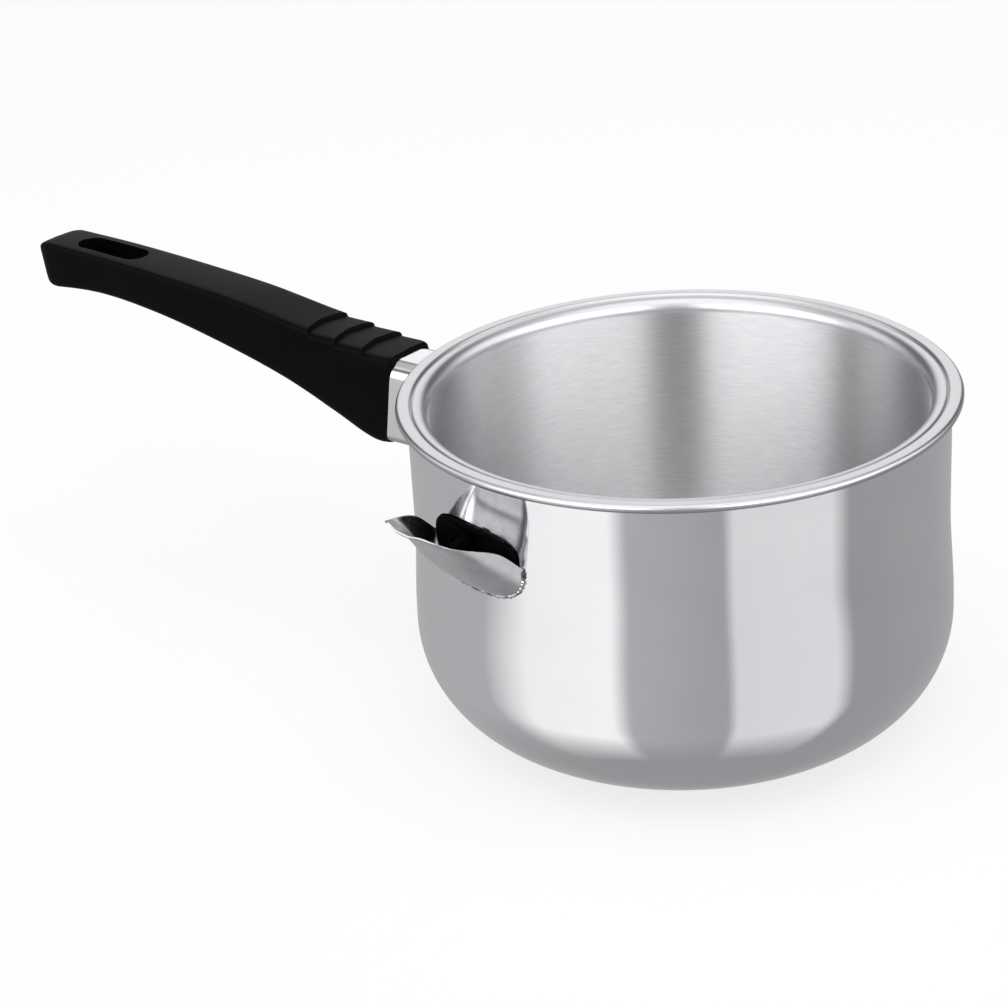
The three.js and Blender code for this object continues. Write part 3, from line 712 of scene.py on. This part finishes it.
def grip_section(along):
    """The lean, half-width, half-height, middle and bow of the section at a distance from the root."""
    lean = ROOT_LEAN * max(0, 1 - along / SLANT_LENGTH)
    past = max(0, along - (GRIP_LENGTH - TIP_RADIUS)) / TIP_RADIUS
    fall = 1 - math.sqrt(max(0, 1 - past ** 2))
    top = ROOT_TOP + height_at(GRIP_TOP, along) - TIP_DROP * fall
    bottom = ROOT_TOP - ROOT_DEPTH + height_at(GRIP_UNDER, along + lean)
    rounding = 1 - TIP_CORNER * fall
    lean -= TIP_LEAN * max(0, 1 - (GRIP_LENGTH - along) / (2 * TIP_RADIUS))
    half_width = (ROOT_HALF_WIDTH + (TIP_HALF_WIDTH - ROOT_HALF_WIDTH) * along / GRIP_LENGTH) * rounding
    half_height = (top - bottom) / 2 * (1 - TIP_CORNER * (1 - rounding))
    bow = STEP_BOW * min(1, along / FIRST_STEP) * max(0, 1 - max(0, along - LAST_STEP) / SLANT_LENGTH)
    return lean, half_width, half_height, (top + bottom) / 2, bow


grip_stations = [i * 1.25 for i in range(136)]
for place in (FIRST_STEP, FIRST_STEP + STEP_PITCH, LAST_STEP):
    grip_stations = [s for s in grip_stations if abs(s - place) > 0.9] + [place - 0.25, place + 0.25]
grip_stations = sorted(s for s in grip_stations if s < GRIP_LENGTH - TIP_RADIUS)
grip_stations += [GRIP_LENGTH - TIP_RADIUS + TIP_RADIUS * math.sin(i * math.pi / 32) for i in range(17)]
grip_sections = {station: grip_section(station) for station in grip_stations}


def grip_form(along, angle):
    """A point round the grip at a distance from its root."""
    lean, half_width, half_height, middle, bow = grip_sections[along]
    squareness = TOP_POWER + (ROOT_TOP_POWER - TOP_POWER) * max(0, 1 - along / ROOT_ROUNDING)
    power = squareness if math.sin(angle) > 0 else UNDER_POWER
    y, z = superellipse(angle, half_width, half_height, power)
    upper = max(0, z / half_height)
    inward = 1 - (y / half_width) ** 2
    taper = 1 - UNDER_TAPER * min(1, along / LAST_STEP) * (1 - z / half_height) / 2
    shift = lean * (1 - z / half_height) / 2 + bow * inward * upper
    rise = upper * (step_rise(along) + CROWN * inward)
    return Vector((-GRIP_START - along - shift, y * taper, middle + z + rise))


grip_angles = [i * 2 * math.pi / 120 for i in range(121)]
grip = laid_over("grip_moulding", grip_stations, grip_angles, grip_form)
close_skin(grip)

TENON_LENGTH, TENON_CLEARANCE = 6, 0.3
tenon = rounded_sleeve(
    "grip_tenon",
    FERRULE_WALL + TENON_CLEARANCE,
    GRIP_START - TENON_LENGTH,
    GRIP_START + 2 * ROOT_LEAN,
    True,
)
cut_away(grip, tenon, "UNION")

SLOT_LENGTH, SLOT_WIDTH, SLOT_CENTRE = 33, 11.6, 256.4
SLOT_TOOL_FOOT, SLOT_TOOL_HEIGHT = 60, 90
bpy.ops.object.select_all(action="DESELECT")
bpy.ops.mesh.primitive_circle_add(vertices=64, radius=SLOT_WIDTH / 2 * MM, fill_type="NGON")
slot_tool = bpy.context.object
for vertex in slot_tool.data.vertices:
    vertex.co.x += math.copysign((SLOT_LENGTH - SLOT_WIDTH) / 2 * MM, vertex.co.x) - SLOT_CENTRE * MM
    vertex.co.z = SLOT_TOOL_FOOT * MM
pull_out(slot_tool, (0, 0, SLOT_TOOL_HEIGHT * MM))
cut_away(grip, slot_tool)

SCREW_ROOT = Vector((-100.4, 0, 88.4))
SCREW_TILT = math.radians(6.5)
SCREW_HOLE, HEAD_HOLE, DRIVER_HOLE = 5.6, 9.2, 6.4
HEAD_DEPTH = 4
DRIVER_REACH = 50
HOLE_OVERLAP = 0.3


def screw_hole(start, end, diameter):
    """A round tool along the screw's line, which rises towards the slot."""
    line = Vector((-math.cos(SCREW_TILT), 0, math.sin(SCREW_TILT)))
    bpy.ops.object.select_all(action="DESELECT")
    bpy.ops.mesh.primitive_cylinder_add(vertices=32, radius=diameter / 2 * MM, depth=(end - start) * MM)
    tool = bpy.context.object
    turned = Vector((0, 0, 1)).rotation_difference(line).to_matrix().to_4x4()
    tool.data.transform(Matrix.Translation((SCREW_ROOT + line * (start + end) / 2) * MM) @ turned)
    return tool


slot_middle = (SLOT_CENTRE + SCREW_ROOT.x) / math.cos(SCREW_TILT)
head_seat = slot_middle - (SLOT_LENGTH / 2 + HEAD_DEPTH) / math.cos(SCREW_TILT)
cut_away(grip, screw_hole(0, head_seat + HOLE_OVERLAP, SCREW_HOLE))
cut_away(grip, screw_hole(head_seat, slot_middle, HEAD_HOLE))
cut_away(grip, screw_hole(slot_middle, slot_middle + DRIVER_REACH, DRIVER_HOLE))
smooth(grip, 30)

# Phenolic resin, hot-moulded: near black, satin, with the fine texture of the tool in its skin.
# The texture is about 0.1 mm in the real moulding and is drawn at 0.5 mm so that it shows.
black_phenolic, tree, phenolic_shader, place = new_finish("moulded_black_phenolic")
flow = add_node(tree, "ShaderNodeTexNoise", {"Vector": place, "Scale": 1 / (12 * MM), "Detail": 3})
tint = add_node(tree, "ShaderNodeValToRGB", {0: flow.outputs[0]}, stops=[
    (0.35, rgb("#020202")),
    (0.65, rgb("#040404")),
])
skin = add_node(tree, "ShaderNodeTexNoise", {"Vector": place, "Scale": 1 / (0.5 * MM), "Detail": 2})
dull = add_node(tree, "ShaderNodeMapRange", {"Value": skin.outputs[0], "To Min": 0.4, "To Max": 0.52})
relief = add_node(tree, "ShaderNodeBump", {
    "Strength": 0.25,
    "Distance": 0.05 * MM,
    "Height": skin.outputs[0],
})
phenolic_shader.inputs["Specular IOR Level"].default_value = 0.035
tree.links.new(tint.outputs[0], phenolic_shader.inputs["Base Color"])
tree.links.new(dull.outputs[0], phenolic_shader.inputs["Roughness"])
tree.links.new(relief.outputs[0], phenolic_shader.inputs["Normal"])
grip.data.materials.append(black_phenolic)
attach(grip, "pot")
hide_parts("handle_grip")


# Plug: a black moulded bung that closes the filler's mouth, tapered to lift out past the nose, with a
# finger fin and two steam vents. Its black face is partly painted shade, standing for a shaded opening.
# Its rings follow the round of the wall; each has its distance out from there, how far its edge is set in,
# and how far its top falls.
PLUG_LAYERS = [
    (-3, 0.4, 3.975),
    (-0.7, 0, 0.834),
    (0, 0, 0),
    (0.3, 0, 0),
    (0.6, 0, 0),
    (0.9, 0.15, 0.15),
    (1.2, 0.6, 0.6),
]
PLUG_HALF_WIDTH, PLUG_TOP, PLUG_BOTTOM = 19, 8.6, -7.6


def plug_form(layer, angle):
    """A point round one of the plug's rings."""
    reach, inset, fall = PLUG_LAYERS[layer]
    top, bottom = PLUG_TOP - fall, PLUG_BOTTOM + inset
    y, z = superellipse(angle, PLUG_HALF_WIDTH - inset, (top - bottom) / 2, MOUTH_POWER)
    return Vector((wall_reach(y) + reach, y, SPOUT_HEIGHT + (top + bottom) / 2 + z))


plug_angles = [i * 2 * math.pi / 96 for i in range(97)]
plug = laid_over("filler_bung", list(range(len(PLUG_LAYERS))), plug_angles, plug_form)
close_skin(plug)

FIN_THICKNESS = 2.8
FIN_OUTLINE = [
    (86.4, -3.5),
    (87.9, -3.5),
    (94.9, 1.83),
    (94.6, 4.2),
    (93.2, 5.2),
    (90.65, 5.5),
    (86.4, 5.5),
]
bpy.ops.object.select_all(action="DESELECT")
bpy.ops.mesh.primitive_circle_add(vertices=len(FIN_OUTLINE), radius=1, fill_type="NGON")
fin = bpy.context.object
for vertex, (x, z) in zip(fin.data.vertices, FIN_OUTLINE):
    vertex.co = (x * MM, -FIN_THICKNESS / 2 * MM, (SPOUT_HEIGHT + z) * MM)
pull_out(fin, (0, FIN_THICKNESS * MM, 0))
finish_with(
    fin,
    "BEVEL",
    width=0.5 * MM,
    segments=3,
    limit_method="ANGLE",
    angle_limit=math.radians(60),
)
cut_away(plug, fin, "UNION")

VENT_RADIUS, VENT_OFFSET, VENT_TOOL_LENGTH = 1.5, 9, 30
for side in (-VENT_OFFSET, VENT_OFFSET):
    bpy.ops.object.select_all(action="DESELECT")
    bpy.ops.mesh.primitive_cylinder_add(vertices=32, radius=VENT_RADIUS * MM, depth=VENT_TOOL_LENGTH * MM)
    vent = bpy.context.object
    across = Matrix.Rotation(math.radians(90), 4, "Y")
    vent.data.transform(Matrix.Translation((NECK_RADIUS * MM, side * MM, SPOUT_HEIGHT * MM)) @ across)
    cut_away(plug, vent)
plug.data.transform(Matrix.Rotation(SPOUT_TURN, 4, "Z"))
smooth(plug, 40)

# Heat-proof phenolic like the grip's, left dull from the mould: black, with a faint mottle. Its black is
# partly painted shade: near black and dull, it fills the mouth the way a shaded opening would.
plug_black_and_shade, tree, dull_shader, place = new_finish("black_phenolic_and_mouth_shade")
flow = add_node(tree, "ShaderNodeTexNoise", {"Vector": place, "Scale": 1 / (4 * MM), "Detail": 3})
tint = add_node(tree, "ShaderNodeValToRGB", {0: flow.outputs[0]}, stops=[
    (0.35, rgb("#020202")),
    (0.65, rgb("#050505")),
])
dull_shader.inputs["Roughness"].default_value = 0.65
dull_shader.inputs["Specular IOR Level"].default_value = 0.02
tree.links.new(tint.outputs[0], dull_shader.inputs["Base Color"])
plug.data.materials.append(plug_black_and_shade)
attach(plug, "plug")
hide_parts("filler_plug")


# Screw, washer, nut and bracket: zinc-plated steel, hidden in the grip and the ferrule. The solids are
# right as they are, and take the plating's finish.
# Zinc plating on steel: pale, slightly blue grey, with a soft spangle about 2 mm across.
zinc_plate, tree, zinc_shader, place = new_finish("zinc_plated_steel")
spangle = add_node(tree, "ShaderNodeTexNoise", {"Vector": place, "Scale": 1 / (2 * MM), "Detail": 2})
tint = add_node(tree, "ShaderNodeValToRGB", {0: spangle.outputs[0]}, stops=[
    (0.3, rgb("#a9acb0")),
    (0.7, rgb("#bfc2c6")),
])
dull = add_node(tree, "ShaderNodeMapRange", {"Value": spangle.outputs[0], "To Min": 0.3, "To Max": 0.45})
zinc_shader.inputs["Metallic"].default_value = 1
tree.links.new(tint.outputs[0], zinc_shader.inputs["Base Color"])
tree.links.new(dull.outputs[0], zinc_shader.inputs["Roughness"])
for name in ("handle_bracket", "bracket_nut", "screw_washer", "handle_screw"):
    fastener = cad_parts[name]
    fastener.data.materials.clear()
    fastener.data.materials.append(zinc_plate)
